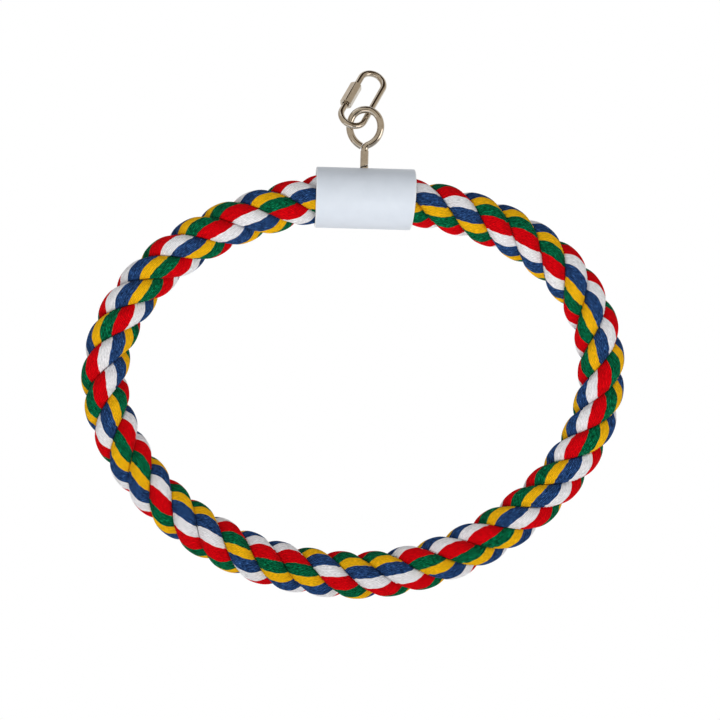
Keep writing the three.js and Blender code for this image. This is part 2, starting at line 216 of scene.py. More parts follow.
class Nodes:
    """A node tree whose nodes are made and joined in one line each."""

    def __init__(self, tree):
        self.tree = tree

    def add(self, kind, **settings):
        """A new node, with settings by name."""
        node = self.tree.nodes.new(kind)
        for name, value in settings.items():
            setattr(node, name, value)
        return node

    def feed(self, socket, value):
        """A number, a colour or another node's output, put into a socket."""
        if isinstance(value, bpy.types.NodeSocket):
            self.tree.links.new(value, socket)
        elif isinstance(value, (int, float)):
            socket.default_value = value
        else:
            socket.default_value = (*value, 1)

    def place(self):
        """Where a point lies on the piece."""
        return self.add("ShaderNodeTexCoord").outputs["Object"]

    def drawn_out(self, vector, scale, turn=(0, 0, 0)):
        """A vector turned and scaled, so that a pattern on it is drawn out."""
        node = self.add("ShaderNodeMapping")
        self.feed(node.inputs["Vector"], vector)
        node.inputs["Rotation"].default_value = turn
        node.inputs["Scale"].default_value = scale
        return node.outputs["Vector"]

    def math(self, operation, *values):
        """A sum on numbers or outputs."""
        node = self.add("ShaderNodeMath", operation=operation)
        for socket, value in zip(node.inputs, values):
            self.feed(socket, value)
        return node.outputs[0]

    def blend(self, share, first, second, kind="MIX"):
        """One colour laid over another: a mix node takes colours at 6 and 7 and gives one at 2."""
        node = self.add("ShaderNodeMix", data_type="RGBA", blend_type=kind)
        self.feed(node.inputs[0], share)
        self.feed(node.inputs[6], first)
        self.feed(node.inputs[7], second)
        return node.outputs[2]

    def grain(self, vector, scale, detail=2.0, roughness=0.5):
        """A noise value over a vector."""
        node = self.add("ShaderNodeTexNoise")
        self.feed(node.inputs["Vector"], vector)
        self.feed(node.inputs["Scale"], scale)
        self.feed(node.inputs["Detail"], detail)
        self.feed(node.inputs["Roughness"], roughness)
        return node.outputs["Fac"]

    def spread(self, value, low, high, to_low=0.0, to_high=1.0):
        """A value moved from one range to another, held at its ends."""
        node = self.add("ShaderNodeMapRange")
        for socket, number in zip(node.inputs, (value, low, high, to_low, to_high)):
            self.feed(socket, number)
        return node.outputs[0]

    def relief(self, height, distance, strength):
        """A normal with a height laid on it."""
        node = self.add("ShaderNodeBump")
        self.feed(node.inputs["Height"], height)
        self.feed(node.inputs["Distance"], distance)
        self.feed(node.inputs["Strength"], strength)
        return node.outputs["Normal"]


def new_finish(name, surface):
    """A new material: its nodes, and its shader's sockets with the plain values of its surface set."""
    material = bpy.data.materials.new(name)
    material.use_nodes = True
    nodes = Nodes(material.node_tree)
    sockets = material.node_tree.nodes["Principled BSDF"].inputs
    for socket, value in surface.items():
        nodes.feed(sockets[socket], value)
    return material, nodes, sockets


# The yarns' colours in their order round a strand: how far round each one ends, its colour, and how strongly
# its grain shows.
YARN_BANDS = (
    (0.22, (0.011, 0.034, 0.102), 1.25),
    (0.38, (0.770, 0.413, 0.006), 0.28),
    (0.58, (0.001, 0.070, 0.028), 1.25),
    (0.81, (0.562, 0.001, 0.004), 0.40),
    (1.00, (0.768, 0.758, 0.774), 0.23),
)
BAND_WAVER = 0.004  # how far a band's edge wanders, as a share of the way round
BAND_WAVES = 30  # about how many times it does so, round a strand and along the rope
YARN_WAVER = 0.2  # how far a gap between yarns wanders, in yarns
PAINTED_GAP_BOUNDS = (0.30, 0.5)  # from a yarn's middle: where the painted shade of a gap starts and where it is full
# Painted shade: how dark the gaps between yarns are painted, standing in for their shadow.
PAINTED_GAP_DARKNESS = 0.60
STREAKS = (64, 130, 1)  # long shades in the yarn: about how many round a strand and along the rope
STREAK_SHADES = (0.87, 1.25)  # darkest and lightest
FLECKS = (100, 400, 1)  # short ones
FLECK_SHADES = (0.70, 1.45)
FIBRE_DETAIL = 3.0
FIBRE_ROUGHNESS = 0.7
FIBRE_SPAN = (0.28, 0.72)  # between which most values of that grain lie
GRAIN_POWER = 3.6  # of all shades together, times the colour's own
FIBRE_TURNS = (60, 520)  # waves of the fibre's twist round a strand and along the rope
FIBRE_TWIST = 0.25  # their height beside that of the flecks
FIBRE_RELIEF = (0.00025, 0.6)  # height and strength
COTTON_SURFACE = {
    "Roughness": 0.95,
    "Specular IOR Level": 0.03,
    "Sheen Weight": 0.02,
    "Sheen Roughness": 0.4,
}


def laid_cotton():
    """Cotton yarn: flat colours round the strand, painted shade between yarns, streaked and twisted along
    them.
    """
    material, nodes, sockets = new_finish("laid_cotton", COTTON_SURFACE)
    lay = nodes.add("ShaderNodeUVMap", uv_map="lay").outputs["UV"]
    split = nodes.add("ShaderNodeSeparateXYZ")
    nodes.feed(split.inputs[0], lay)
    around = split.outputs["X"]
    length = split.outputs["Y"]
    streak = nodes.grain(nodes.drawn_out(lay, STREAKS), 1.0, FIBRE_DETAIL, FIBRE_ROUGHNESS)
    fleck = nodes.grain(nodes.drawn_out(lay, FLECKS), 1.0, FIBRE_DETAIL, FIBRE_ROUGHNESS)

    # The gaps between yarns, as a mask for the painted shade in them.
    aside = nodes.math("MULTIPLY", nodes.math("SUBTRACT", streak, 0.5), YARN_WAVER)
    across = nodes.math("ADD", nodes.math("MULTIPLY", around, YARNS), aside)
    gap_darkening = nodes.math("ABSOLUTE", nodes.math("SUBTRACT", nodes.math("FRACT", across), 0.5))
    gap_darkening = nodes.spread(gap_darkening, *PAINTED_GAP_BOUNDS)

    waver = nodes.math("SUBTRACT", nodes.grain(lay, BAND_WAVES), 0.5)
    waver = nodes.math("MULTIPLY", waver, 2 * BAND_WAVER)
    bands = nodes.add("ShaderNodeValToRGB")
    bands.color_ramp.interpolation = "CONSTANT"
    stops = bands.color_ramp.elements
    while len(stops) < len(YARN_BANDS):
        stops.new(1)
    start = 0
    for stop, (end, colour, grain) in zip(stops, YARN_BANDS):
        stop.position = start
        stop.color = (*colour, grain)
        start = end
    nodes.feed(bands.inputs["Fac"], nodes.math("WRAP", nodes.math("ADD", around, waver), 1.0, 0.0))

    shade = nodes.spread(streak, *FIBRE_SPAN, *STREAK_SHADES)
    shade = nodes.math("MULTIPLY", shade, nodes.spread(fleck, *FIBRE_SPAN, *FLECK_SHADES))
    # Painted shade in the gaps between yarns.
    shade = nodes.math("MULTIPLY", shade, nodes.spread(gap_darkening, 0.0, 1.0, 1.0, PAINTED_GAP_DARKNESS))
    shade = nodes.math("POWER", shade, nodes.math("MULTIPLY", bands.outputs["Alpha"], GRAIN_POWER))
    tint = nodes.add("ShaderNodeCombineColor")
    for socket in tint.inputs:
        nodes.feed(socket, shade)
    tone = nodes.blend(1.0, bands.outputs["Color"], tint.outputs["Color"], "MULTIPLY")
    nodes.feed(sockets["Base Color"], tone)

    turns_around = nodes.math("MULTIPLY", around, FIBRE_TURNS[0])
    turns_along = nodes.math("MULTIPLY", length, FIBRE_TURNS[1])
    turns = nodes.math("ADD", turns_around, turns_along)
    twist = nodes.math("SINE", nodes.math("MULTIPLY", turns, 2 * math.pi))
    height = nodes.math("ADD", nodes.math("MULTIPLY", twist, FIBRE_TWIST), fleck)
    nodes.feed(sockets["Normal"], nodes.relief(height, *FIBRE_RELIEF))
    return material


cotton = laid_cotton()
for index in range(STRANDS):
    strand = strand_piece(index, cotton)
    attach(strand, "ring")
    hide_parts(f"rope_strand_{index + 1}")


# The binding on each rope end: a turn of plain cloth tape that keeps the cut strands together, and the ring
# of set hot glue that fills the space from it to the sleeve. Both are hidden in the sleeve, so they keep the
# plain rings of the frame and get only their finish here.
TAPE_SHADES = ((0.58, 0.54, 0.41), (0.68, 0.64, 0.50))
TAPE_WEAVE = 1600.0  # squares of the weave in a metre
TAPE_RELIEF = (0.0002, 0.5)
TAPE_SURFACE = {"Roughness": 0.85}
GLUE_SHADES = ((0.50, 0.38, 0.18), (0.68, 0.56, 0.32))
GLUE_LUMPS = 400.0  # lumps in a metre
GLUE_DETAIL = 3.0
GLUE_RELIEF = (0.0006, 0.6)
GLUE_SURFACE = {"Roughness": 0.25, "Transmission Weight": 0.3}


def dressed(node, material):
    """A node of the frame kept as it is, with a better material."""
    piece = bpy.data.objects[node]
    piece.data.materials.clear()
    piece.data.materials.append(material)


def cloth_tape():
    """Cream cloth with a fine plain weave."""
    material, nodes, sockets = new_finish("cloth_tape", TAPE_SURFACE)
    weave = nodes.add("ShaderNodeTexChecker")
    nodes.feed(weave.inputs["Vector"], nodes.place())
    nodes.feed(weave.inputs["Scale"], TAPE_WEAVE)
    nodes.feed(sockets["Base Color"], nodes.blend(weave.outputs["Fac"], *TAPE_SHADES))
    nodes.feed(sockets["Normal"], nodes.relief(weave.outputs["Fac"], *TAPE_RELIEF))
    return material


def hot_glue():
    """Set glue: pale amber, half clear, glossy and uneven."""
    material, nodes, sockets = new_finish("hot_glue", GLUE_SURFACE)
    lumps = nodes.grain(nodes.place(), GLUE_LUMPS, GLUE_DETAIL)
    nodes.feed(sockets["Base Color"], nodes.blend(lumps, *GLUE_SHADES))
    nodes.feed(sockets["Normal"], nodes.relief(lumps, *GLUE_RELIEF))
    return material


tape = cloth_tape()
glue = hot_glue()
for side in ("left", "right"):
    dressed(f"end_tape_{side}", tape)
    dressed(f"glue_{side}", glue)


# The sleeve: a length of white plastic tube over both rope ends, sawn off a little askew, its edges eased
# and a hole drilled in its top wall for the bolt. A rectangle spun about the rope's axis, with the hole
# cut out.
SLEEVE_WALL = 0.002
SLEEVE_OUTER_EDGE = 0.0010  # width of the eased edge
SLEEVE_INNER_EDGE = 0.0004
SLEEVE_EDGE_STEPS = 4
SLEEVE_SIDES = 128
SLEEVE_CREASE = 40
LEFT_SAW = (0.0003, 0.0008, 0)  # to the right: of the whole end, then of its front and of its top
RIGHT_SAW = (-0.0014, 0.0023, 0.0010)
BOLT_HOLE = 0.0034  # radius
BORE_SIDES = 48
PLASTIC_SHADES = ((0.692, 0.746, 0.820), (0.716, 0.770, 0.844))
PLASTIC_END_HIGHLIGHT = (0.86, 0.89, 0.92)  # painted highlight on the sawn end faces, paler than the tube
CLOUD_SPAN = (0.35, 0.65)  # between which most values of the clouds lie, for colour
CLOUD_GLOSS_SPAN = (0.3, 0.7)  # and for gloss
PLASTIC_CLOUDS = 90.0  # clouds in a metre
PLASTIC_DETAIL = 3.0
PLASTIC_ROUGHNESS = (0.36, 0.5)
PLASTIC_LINES = (6, 900, 900)  # lines from the drawing of the tube: in a metre along it and across it
PLASTIC_RELIEF = (0.00012, 0.5)
PLASTIC_SURFACE = {"Specular IOR Level": 0.25}


def rod(radius, length, sides, place):
    """A round or many-sided bar with flat ends, its middle at a place."""
    bm = bmesh.new()
    bmesh.ops.create_cone(
        bm, cap_ends=True, segments=sides, radius1=radius, radius2=radius, depth=length, matrix=place
    )
    return bm


def ease(bm, edges, width, steps):
    """Edges rounded off."""
    bmesh.ops.bevel(
        bm, geom=edges, offset=width, segments=steps, profile=0.5, affect="EDGES", material=-1
    )


def rim_edges(bm, middle, along, radius):
    """The edges that lie in rings of this radius about an axis."""
    def level(vertex):
        return (vertex.co - middle).dot(along)

    def on_rim(vertex):
        away = vertex.co - middle - along * level(vertex)
        return abs(away.length - radius) < TOUCH

    return [
        edge for edge in bm.edges
        if all(on_rim(vertex) for vertex in edge.verts)
        and abs(level(edge.verts[0]) - level(edge.verts[1])) < TOUCH
    ]


def cut_away(piece, bm, operation="DIFFERENCE"):
    """A bmesh cut from a piece, or kept in common with it."""
    mesh = bpy.data.meshes.new("cutter")
    bm.to_mesh(mesh)
    bm.free()
    cutter = bpy.data.objects.new("cutter", mesh)
    bpy.context.scene.collection.objects.link(cutter)
    modifier = piece.modifiers.new("cut", "BOOLEAN")
    modifier.operation = operation
    modifier.solver = "EXACT"
    modifier.object = cutter
    graph = bpy.context.evaluated_depsgraph_get()
    result = bpy.data.meshes.new_from_object(piece.evaluated_get(graph))
    piece.modifiers.clear()
    piece.data = result
    bpy.data.objects.remove(cutter)
    bpy.data.meshes.remove(mesh)


def sleeve_piece(material):
    """The tube with its sawn and eased ends and its bolt hole, and a mask of the sawn end faces for their
    painted highlight.
    """
    outer = (sleeve_high.z - sleeve_low.z) / 2
    inner = outer - SLEEVE_WALL
    axis = Vector((1, 0, 0))
    left, right = sleeve_low.x, sleeve_high.x
    bm = bmesh.new()
    section = ((left, inner), (left, outer), (right, outer), (right, inner))
    corners = [bm.verts.new((x, sleeve_middle.y, sleeve_middle.z + radius)) for x, radius in section]
    sides = [bm.edges.new((corners[i - 1], corners[i])) for i in range(len(corners))]
    bmesh.ops.spin(
        bm, geom=corners + sides, cent=sleeve_middle, axis=axis, angle=2 * math.pi,
        steps=SLEEVE_SIDES, use_merge=True,
    )
    bmesh.ops.recalc_face_normals(bm, faces=bm.faces)

    edges = ((outer, SLEEVE_OUTER_EDGE), (inner, SLEEVE_INNER_EDGE))
    rims = [(rim_edges(bm, sleeve_middle, axis, radius), width) for radius, width in edges]
    for vertex in bm.verts:
        away = (vertex.co - sleeve_middle) / outer
        whole, front, top = RIGHT_SAW if away.x > 0 else LEFT_SAW
        vertex.co.x += whole - front * away.y + top * away.z
    for rim, width in rims:
        ease(bm, rim, width, SLEEVE_EDGE_STEPS)
    # A mask of the sawn end faces, between the wall's inner and outer radius, which the material paints
    # paler as a highlight.
    end_face_highlight = bm.verts.layers.float.new("end_face_highlight")
    for vertex in bm.verts:
        away = vertex.co - sleeve_middle
        vertex[end_face_highlight] = float(inner + TOUCH < math.hypot(away.y, away.z) < outer - TOUCH)

    piece = new_piece("sleeve_tube", bm, material)
    cut_away(piece, rod(BOLT_HOLE, outer, BORE_SIDES, Matrix.Translation((bolt.x, bolt.y, sleeve_high.z))))
    piece.data.set_sharp_from_angle(angle=math.radians(SLEEVE_CREASE))
    return piece


def white_plastic():
    """Satin white plastic, faintly blue: fine lines along the tube, dull clouds, and a painted highlight on
    the sawn end faces.
    """
    material, nodes, sockets = new_finish("white_plastic", PLASTIC_SURFACE)
    place = nodes.place()
    clouds = nodes.grain(place, PLASTIC_CLOUDS, PLASTIC_DETAIL)
    tone = nodes.blend(nodes.spread(clouds, *CLOUD_SPAN), *PLASTIC_SHADES)
    # Painted highlight: the sawn end faces are painted paler.
    end_face_highlight = nodes.add("ShaderNodeAttribute", attribute_name="end_face_highlight").outputs["Fac"]
    nodes.feed(sockets["Base Color"], nodes.blend(end_face_highlight, tone, PLASTIC_END_HIGHLIGHT))
    nodes.feed(sockets["Roughness"], nodes.spread(clouds, *CLOUD_GLOSS_SPAN, *PLASTIC_ROUGHNESS))
    lines = nodes.grain(nodes.drawn_out(place, PLASTIC_LINES), 1.0)
    nodes.feed(sockets["Normal"], nodes.relief(lines, *PLASTIC_RELIEF))
    return material


sleeve = sleeve_piece(white_plastic())
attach(sleeve, "ring")
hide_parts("sleeve")


# The eye bolt: nickel-plated steel wire bent into an eye whose two sides run in to one shank. The shank goes
# down through the sleeve's top wall and swivels there. One wire section, drawn and bent along it.
EYE_WIRE = 0.0027  # radius
EYE_RADIUS = 0.0113  # to the wire's middle
EYE_SIDE_RISE = math.radians(20)  # above level, where its sides leave the circle
EYE_FREE_SIDE = 0.016  # radius of its free side, from there to the cut end
EYE_SHANK_SIDE = 0.015  # radius of its other side, from there to the bend
EYE_BEND = 0.004  # radius of the bend from that side into the shank
EYE_END_GAP = 0.0005  # cut end to the bend
EYE_STEPS = 56  # mesh rings in the circle, in each side and in the bend
EYE_SIDE_STEPS = 40
EYE_BEND_STEPS = 16
SHANK_RADIUS = 0.0031  # more than the eye's wire, with its rolled thread
SHANK_STEP = 0.0005  # length of the taper to it, and of a mesh ring before and after
GROOVE_START = 0.0024  # thread's first groove, above the sleeve
GROOVE_PITCH = 0.0055
GROOVE_WIDTH = 0.0004
GROOVE_DEPTH = 0.0005
GROOVE_RUN = 0.0080  # length of shank with a mesh fine enough for it
GROOVE_STEPS = 80
WIRE_SIDES = 32
WIRE_EASE = 0.0003  # rounding of a cut end
WIRE_EASE_STEPS = 2
WIRE_CREASE = 40
ACROSS = Vector((0, 1, 0))  # axis of the bends

CLOUD_DETAIL = 4.0
CLOUD_ROUGHNESS = 0.6
CLOUD_GLOSS = (1.3, 0.8)  # roughness at the ends of their span, as shares of the metal's own
SCRATCH_TURN = (0.4, 0.7, 0.2)
SCRATCH_STRETCH = (1, 9, 9)
SCRATCH_FINENESS = 2.5  # beside the clouds
SCRATCH_DETAIL = 3.0
SCRATCH_RELIEF = (0.000004, 0.5)
GROOVE_SHADE_COLOUR = (0.03, 0.022, 0.015)  # painted shade in the bottom of the thread's groove
NICKEL_SHADES = ((0.48, 0.425, 0.35), (0.58, 0.52, 0.44))
NICKEL_ROUGHNESS = 0.05
NICKEL_CLOUDS = 350.0  # clouds in a metre


class Wire:
    """A wire being drawn: a ring of edges that is pushed straight on or bent round a point."""

    def __init__(self, start, heading, radius):
        self.bm = bmesh.new()
        place = Matrix.Translation(start) @ heading.to_track_quat("Z", "Y").to_matrix().to_4x4()
        made = bmesh.ops.create_circle(
            self.bm, cap_ends=True, radius=radius, segments=WIRE_SIDES, matrix=place
        )
        self.edges = list(dict.fromkeys(edge for vertex in made["verts"] for edge in vertex.link_edges))
        self.ends = list(self.edges)

    def corners(self):
        """The corners of the ring that is pushed on, each once and in the same order each time."""
        return list(dict.fromkeys(vertex for edge in self.edges for vertex in edge.verts))

    def straight(self, run, steps=1):
        """A straight run, in one or more steps."""
        for _ in range(steps):
            made = bmesh.ops.extrude_edge_only(self.bm, edges=self.edges)["geom"]
            moved = [part for part in made if isinstance(part, bmesh.types.BMVert)]
            bmesh.ops.translate(self.bm, verts=moved, vec=run / steps)
            tips = set(moved)
            self.edges = [edge for edge in self.bm.edges if edge.verts[0] in tips and edge.verts[1] in tips]

    def widen(self, run, radius):
        """A short taper to another radius."""
        self.straight(run)
        corners = self.corners()
        middle = sum((vertex.co for vertex in corners), Vector()) / len(corners)
        for vertex in corners:
            vertex.co = middle + (vertex.co - middle).normalized() * radius

    def bend(self, centre, axis, angle, steps):
        """A bend round a point."""
        made = bmesh.ops.spin(
            self.bm, geom=self.edges + self.corners(), cent=centre, axis=axis, angle=angle,
            steps=steps, use_duplicate=False,
        )
        self.edges = [part for part in made["geom_last"] if isinstance(part, bmesh.types.BMEdge)]

    def cut(self):
        """Both ends closed and eased."""
        bmesh.ops.edgeloop_fill(self.bm, edges=self.edges)
        bmesh.ops.recalc_face_normals(self.bm, faces=self.bm.faces)
        ease(self.bm, self.ends + self.edges, WIRE_EASE, WIRE_EASE_STEPS)
        return self.bm


def eye_bolt_piece(material):
    """From the cut end up the free side, over the eye, down the other side and round into the shank."""
    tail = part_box("eye_bolt")[0].z
    down = Vector((0, 0, -1))
    level, lower = math.cos(EYE_SIDE_RISE), math.sin(EYE_SIDE_RISE)
    free_middle = eye + Vector((level, 0, -lower)) * (EYE_FREE_SIDE - EYE_RADIUS)
    shank_middle = eye + Vector((-level, 0, -lower)) * (EYE_SHANK_SIDE - EYE_RADIUS)
    reach = EYE_SHANK_SIDE + EYE_BEND
    splay = math.acos((EYE_BEND + eye.x - shank_middle.x) / reach)
    bend_middle = shank_middle + Vector((math.cos(splay), 0, -math.sin(splay))) * reach
    corner = EYE_FREE_SIDE - EYE_WIRE
    clear = EYE_BEND + EYE_WIRE + EYE_END_GAP
    away = free_middle - bend_middle
    meeting = (away.length_squared + corner ** 2 - clear ** 2) / (2 * corner * away.length)
    turn = math.atan2(away.z, away.x) - math.acos(meeting)
    start = free_middle - Vector((math.cos(turn), 0, math.sin(turn))) * EYE_FREE_SIDE
    wire = Wire(start, Vector((-math.sin(turn), 0, math.cos(turn))), EYE_WIRE)
    wire.bend(free_middle, ACROSS, turn + EYE_SIDE_RISE, EYE_SIDE_STEPS)
    wire.bend(eye, ACROSS, math.pi - 2 * EYE_SIDE_RISE, EYE_STEPS)
    wire.bend(shank_middle, ACROSS, EYE_SIDE_RISE + splay, EYE_SIDE_STEPS)
    wire.bend(bend_middle, ACROSS, -splay, EYE_BEND_STEPS)
    wire.straight(down * SHANK_STEP)
    wire.widen(down * SHANK_STEP, SHANK_RADIUS)
    wire.straight(down * SHANK_STEP)
    top = bend_middle.z - 3 * SHANK_STEP
    groove_top = bolt.z + 2 * GROOVE_START
    groove_foot = groove_top - GROOVE_RUN
    wire.straight(down * (top - groove_top))
    wire.straight(down * GROOVE_RUN, GROOVE_STEPS)
    wire.straight(down * (groove_foot - tail))
    bm = wire.cut()

    # The thread's groove: its profile cuts the groove, and the material paints shade in its bottom.
    groove_and_shade = bm.verts.layers.float.new("groove_and_shade")
    for vertex in bm.verts:
        if groove_foot + TOUCH < vertex.co.z < groove_top - TOUCH:
            away = Vector((vertex.co.x - bolt.x, vertex.co.y - bolt.y, 0))
            turned = math.atan2(away.y, away.x) / (2 * math.pi)
            drop = bolt.z + GROOVE_START - vertex.co.z + turned * GROOVE_PITCH
            beside = (drop + GROOVE_PITCH / 2) % GROOVE_PITCH - GROOVE_PITCH / 2 if drop > 0 else drop
            vertex[groove_and_shade] = math.exp(-((beside / GROOVE_WIDTH) ** 2))
            vertex.co -= away.normalized() * GROOVE_DEPTH * vertex[groove_and_shade]
    return new_piece("eye_wire", bm, material, WIRE_CREASE)


def wear_group():
    """Marks of use on metal: a cloudy mask and a scratched height, from a place on the piece."""
    tree = bpy.data.node_groups.new("metal_wear", "ShaderNodeTree")
    tree.interface.new_socket("Place", in_out="INPUT", socket_type="NodeSocketVector")
    tree.interface.new_socket("Scale", in_out="INPUT", socket_type="NodeSocketFloat")
    tree.interface.new_socket("Clouds", in_out="OUTPUT", socket_type="NodeSocketFloat")
    tree.interface.new_socket("Scratches", in_out="OUTPUT", socket_type="NodeSocketFloat")
    nodes = Nodes(tree)
    given = nodes.add("NodeGroupInput").outputs
    result = nodes.add("NodeGroupOutput").inputs
    clouds = nodes.grain(given["Place"], given["Scale"], CLOUD_DETAIL, CLOUD_ROUGHNESS)
    drawn = nodes.drawn_out(given["Place"], SCRATCH_STRETCH, SCRATCH_TURN)
    fine = nodes.math("MULTIPLY", given["Scale"], SCRATCH_FINENESS)
    nodes.feed(result["Clouds"], clouds)
    nodes.feed(result["Scratches"], nodes.grain(drawn, fine, SCRATCH_DETAIL))
    return tree


metal_wear = wear_group()


def plated_steel(name, shades, roughness, scale):
    """Plated steel: one shade clouded into another, with dull patches, fine scratches and painted shade in a
    thread's groove.
    """
    material, nodes, sockets = new_finish(name, {"Metallic": 1.0})
    wear = nodes.add("ShaderNodeGroup", node_tree=metal_wear)
    nodes.feed(wear.inputs["Place"], nodes.place())
    nodes.feed(wear.inputs["Scale"], scale)
    clouds = wear.outputs["Clouds"]
    tone = nodes.blend(nodes.spread(clouds, *CLOUD_SPAN), *shades)
    # Painted shade in the bottom of the thread's groove.
    groove_and_shade = nodes.add("ShaderNodeAttribute", attribute_name="groove_and_shade").outputs["Fac"]
    dull, bright = (roughness * share for share in CLOUD_GLOSS)
    nodes.feed(sockets["Base Color"], nodes.blend(groove_and_shade, tone, GROOVE_SHADE_COLOUR))
    nodes.feed(sockets["Roughness"], nodes.spread(clouds, *CLOUD_GLOSS_SPAN, dull, bright))
    nodes.feed(sockets["Normal"], nodes.relief(wear.outputs["Scratches"], *SCRATCH_RELIEF))
    return material


nickel = plated_steel("nickel", NICKEL_SHADES, NICKEL_ROUGHNESS, NICKEL_CLOUDS)
eye_bolt = eye_bolt_piece(nickel)
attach(eye_bolt, "eye")
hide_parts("eye_bolt")


# What holds the eye bolt in the sleeve: a zinc-plated washer and a lock nut with its nylon ring, hidden
# under the top wall. They keep the plain shapes of the frame and get only their finish here.
ZINC_SHADES = ((0.38, 0.39, 0.40), (0.55, 0.56, 0.56))
ZINC_ROUGHNESS = 0.45
ZINC_CLOUDS = 500.0  # clouds in a metre
NYLON_SHADES = ((0.60, 0.57, 0.44), (0.70, 0.67, 0.54))
NYLON_CLOUDS = 900.0
NYLON_RELIEF = (0.00005, 0.4)
NYLON_SURFACE = {"Roughness": 0.5}


def nylon_ring():
    """Cream nylon, a little cloudy."""
    material, nodes, sockets = new_finish("nylon_ring", NYLON_SURFACE)
    clouds = nodes.grain(nodes.place(), NYLON_CLOUDS)
    nodes.feed(sockets["Base Color"], nodes.blend(clouds, *NYLON_SHADES))
    nodes.feed(sockets["Normal"], nodes.relief(clouds, *NYLON_RELIEF))
    return material


zinc = plated_steel("zinc", ZINC_SHADES, ZINC_ROUGHNESS, ZINC_CLOUDS)
dressed("washer", zinc)
dressed("lock_nut", zinc)
dressed("lock_nut_insert", nylon_ring())


# The quick link: a nickel-plated wire oval with a gap in one leg, the stub of the gap threaded for the nut.
# It goes through the eye and hangs from the cage bar. Drawn upright from its stub, then turned to how it
# hangs.
LINK_WIRE = 0.0024  # radius
LINK_BOW = 0.0092  # radius, to the wire's middle
LINK_BOW_STEPS = 48
LINK_LEG = 0.0371  # between the bows' middles
STUB_LENGTH = 0.0086
GATE_GAP = 0.0060
THREAD_PITCH = 0.0008
THREAD_DEPTH = 0.0003
THREAD_LENGTH = 0.0022
THREAD_STEPS = 6  # mesh rings in a turn of thread

link_up = Vector(joints["nut_travel"]["axis"])
link_right = Vector((link_up.z, 0, -link_up.x)).normalized()
link_back = link_up.cross(link_right)
link_turn = Matrix((link_right, link_back, link_up)).transposed().to_4x4()


def link_piece(material):
    """From the stub down, round the lower bow, up the long leg, round the upper bow and down to the gap."""
    upper = Vector((0, 0, LINK_WIRE - LINK_BOW))
    lower = upper - Vector((0, 0, LINK_LEG))
    stub = Vector((-LINK_BOW, 0, lower.z + STUB_LENGTH))
    wire = Wire(stub, Vector((0, 0, -1)), LINK_WIRE)
    turns = THREAD_LENGTH / THREAD_PITCH
    wire.straight(Vector((0, 0, -THREAD_LENGTH)), round(turns * THREAD_STEPS))
    wire.straight(Vector((0, 0, THREAD_LENGTH - STUB_LENGTH)))
    wire.bend(lower, ACROSS, -math.pi, LINK_BOW_STEPS)
    wire.straight(Vector((0, 0, LINK_LEG)))
    wire.bend(upper, ACROSS, -math.pi, LINK_BOW_STEPS)
    wire.straight(Vector((0, 0, stub.z + GATE_GAP - upper.z)))
    bm = wire.cut()
    for vertex in bm.verts:
        depth = stub.z - vertex.co.z
        if vertex.co.x < 0 and WIRE_EASE < depth < THREAD_LENGTH - TOUCH:
            away = Vector((vertex.co.x + LINK_BOW, vertex.co.y, 0))
            turned = math.atan2(away.y, away.x) / (2 * math.pi)
            crest = abs((depth / THREAD_PITCH + turned) % 1 - 0.5) * 2
            vertex.co -= away.normalized() * THREAD_DEPTH * (1 - crest)
    bmesh.ops.transform(bm, matrix=link_turn, verts=bm.verts)
    return new_piece("link_wire", bm, material, WIRE_CREASE)


link = link_piece(nickel)
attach(link, "link")
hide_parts("link_body")


# The link's nut: a long nickel-plated hexagon, turned down to a chamfer at both ends, that runs along the
# open leg and closes the gap. A hexagon bar kept inside a chamfered round, with its bore taken out.
NUT_FLATS = 0.0084
NUT_LENGTH = 0.0208
NUT_SEAT = 0.0066  # lower bow's middle to the nut
NUT_FACING = math.radians(40)
NUT_EDGE = 0.00025  # rounding of the long edges
NUT_CHAMFER = 0.0006
NUT_EDGE_STEPS = 3
NUT_BORE = 0.0027  # radius
NUT_SIDES = 96  # of the round that the ends are turned to
NUT_CREASE = 30


def link_nut_piece(material):
    """The hexagon nut where it closes the gap."""
    bottom = LINK_WIRE - LINK_BOW - LINK_LEG + NUT_SEAT
    middle = Matrix.Translation((-LINK_BOW, 0, bottom + NUT_LENGTH / 2))
    corner = NUT_FLATS / math.sqrt(3)
    hexagon = rod(corner, NUT_LENGTH, 6, middle @ Matrix.Rotation(NUT_FACING, 4, "Z"))
    half = NUT_LENGTH / 2
    upright = [edge for edge in hexagon.edges if abs(edge.verts[0].co.z - edge.verts[1].co.z) > half]
    ease(hexagon, upright, NUT_EDGE, NUT_EDGE_STEPS)
    piece = new_piece("link_hexagon", hexagon, material)

    turned = rod(corner, NUT_LENGTH, NUT_SIDES, middle)
    rims = rim_edges(turned, middle.translation, Vector((0, 0, 1)), corner)
    ease(turned, rims, NUT_CHAMFER, NUT_EDGE_STEPS)
    cut_away(piece, turned, "INTERSECT")
    cut_away(piece, rod(NUT_BORE, 2 * NUT_LENGTH, BORE_SIDES, middle))
    piece.data.transform(link_turn)
    piece.data.set_sharp_from_angle(angle=math.radians(NUT_CREASE))
    return piece


link_nut = link_nut_piece(nickel)
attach(link_nut, "nut")
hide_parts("link_nut")


